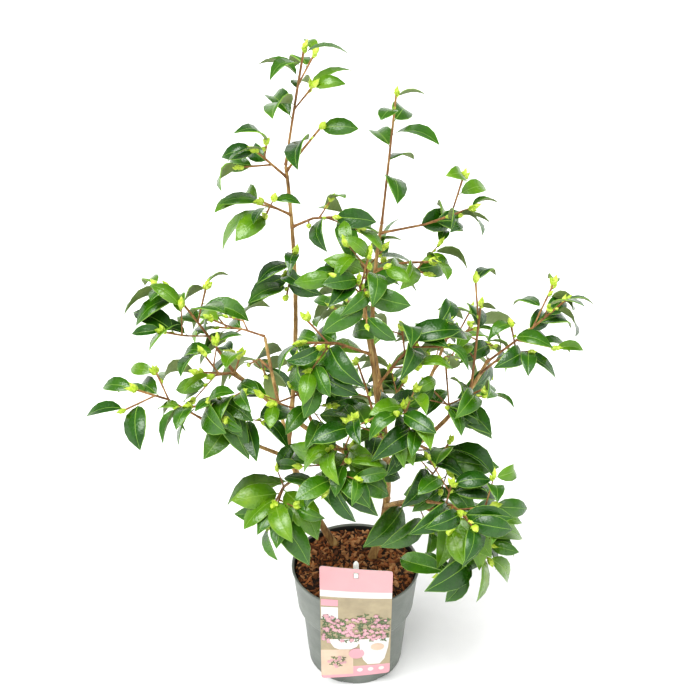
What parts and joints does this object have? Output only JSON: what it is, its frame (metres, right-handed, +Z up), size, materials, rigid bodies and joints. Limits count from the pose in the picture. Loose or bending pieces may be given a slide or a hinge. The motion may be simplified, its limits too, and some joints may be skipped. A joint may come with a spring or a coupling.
{
  "type": "potted camellia shrub",
  "caption": "Evergreen shrub with glossy pointed leaves and pale green buds on slender stems, in a round tapered nursery pot with bark mulch and a plant label on a stake.",
  "frame": {"origin": "centre of the pot's flat underside, on the ground", "axes": "+Z up the plant, +X to the viewer's right with the label in front, +Y away from the label"},
  "size_m": [0.5225, 0.4253, 0.7519],
  "materials": {
    "pot": "satin grey plastic",
    "mulch": "coarse dark bark chips",
    "label": "printed card under film",
    "stake": "smooth white plastic",
    "bark": "thin smooth bark",
    "foliage": "glossy leaves, paler beneath"
  },
  "bodies": {
    "root": {"pot": "pot", "bark_mulch": "mulch", "label_card": "label", "label_stake": "stake", "trunk": "bark", "left_stem": "bark", "left_leader": "bark", "left_bough": "bark", "right_leader": "bark", "right_bough": "bark", "front_leader": "bark", "low_right_bough": "bark", "low_left_bough": "bark", "back_stem": "bark", "back_left_bough": "bark", "back_right_bough": "bark", "left_spire": "foliage", "left_collar": "foliage", "left_collar_right": "foliage", "left_wisp": "foliage", "right_spire": "foliage", "right_arm": "foliage", "front_crown": "foliage", "front_left": "foliage", "front_right": "foliage", "left_fan": "foliage", "left_fan_low": "foliage", "left_tip": "foliage", "left_under": "foliage", "left_inner": "foliage", "centre_left": "foliage", "centre_right": "foliage", "low_centre": "foliage", "low_left": "foliage", "right_tip": "foliage", "right_top": "foliage", "right_mid": "foliage", "right_under": "foliage", "mid_right": "foliage", "low_right": "foliage", "low_right_twig": "foliage", "back_crown": "foliage", "back_centre": "foliage", "back_left": "foliage", "back_left_low": "foliage", "back_right": "foliage", "back_right_low": "foliage", "back_low": "foliage", "spire_left": "foliage", "spire_right": "foliage", "low_middle": "foliage", "right_collar": "foliage"}
  },
  "joints": []
}
